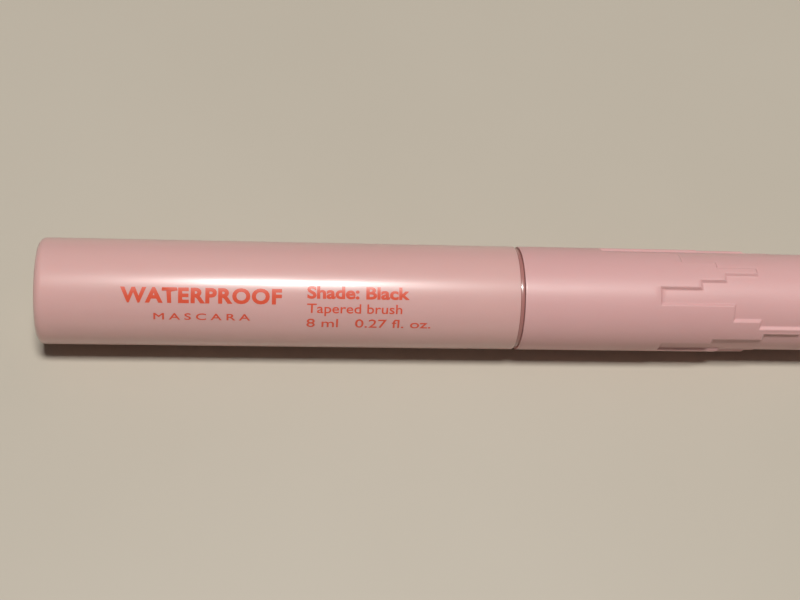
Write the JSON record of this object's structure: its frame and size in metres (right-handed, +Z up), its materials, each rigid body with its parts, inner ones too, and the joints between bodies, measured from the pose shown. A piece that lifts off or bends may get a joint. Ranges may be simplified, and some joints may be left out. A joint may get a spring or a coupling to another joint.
{
  "type": "mascara tube",
  "caption": "Slim round makeup tube lying on its side: bottle with wiper and formula, and a screw cap with stepped relief that carries the rod and brush and pulls out of the neck.",
  "frame": {"origin": "on the surface the tube lies on, below the middle of its length and straight below its axis", "axes": "+X along the tube from the bottle's base to the cap's end, +Z up, -Y towards the side that carries the print"},
  "size_m": [0.126, 0.0164, 0.0163],
  "materials": {
    "pink_gloss": "glossy moulded pale pink",
    "pink_cap": "satin-gloss moulded pale pink",
    "rose_ring": "glossy deep rose",
    "natural_plastic": "natural translucent moulding",
    "wiper_plastic": "soft waxy translucent",
    "gasket_foam": "closed-cell foam",
    "rod_plastic": "glossy black, smeared with formula",
    "wire_steel": "drawn wire",
    "bristle_fibre": "black nylon fibres",
    "formula": "wet black cream",
    "label_paper": "white coated sticker"
  },
  "bodies": {
    "bottle": {"bottle_sleeve": "pink_gloss", "base_label": "label_paper", "inner_bottle": "natural_plastic", "wiper": "wiper_plastic", "mascara_formula": "formula"},
    "collar": {"collar_ring": "rose_ring"},
    "gasket": {"cap_gasket": "gasket_foam"},
    "wand": {"cap_shell": "pink_cap", "inner_cap": "natural_plastic", "rod": "rod_plastic", "wire_core": "wire_steel", "bristles": "bristle_fibre"}
  },
  "joints": [
    {"name": "cap_rise", "type": "slide", "parent": "bottle", "child": "collar", "axis": [1, 0, 0], "range_m": [0, 0.0036]},
    {"name": "wand_pull", "type": "slide", "parent": "collar", "child": "gasket", "axis": [1, 0, 0], "range_m": [0, 0.085], "deforming": ["bristles"]},
    {"name": "cap_turn", "type": "hinge", "parent": "gasket", "child": "wand", "pos_m": [0.0111, 0, 0.00817], "axis": [1, 0, 0], "range_deg": [0, 450]}
  ],
  "couplings": [
    {"joint": "cap_rise", "follows": "cap_turn", "m_per_rad": 0.00045837}
  ]
}
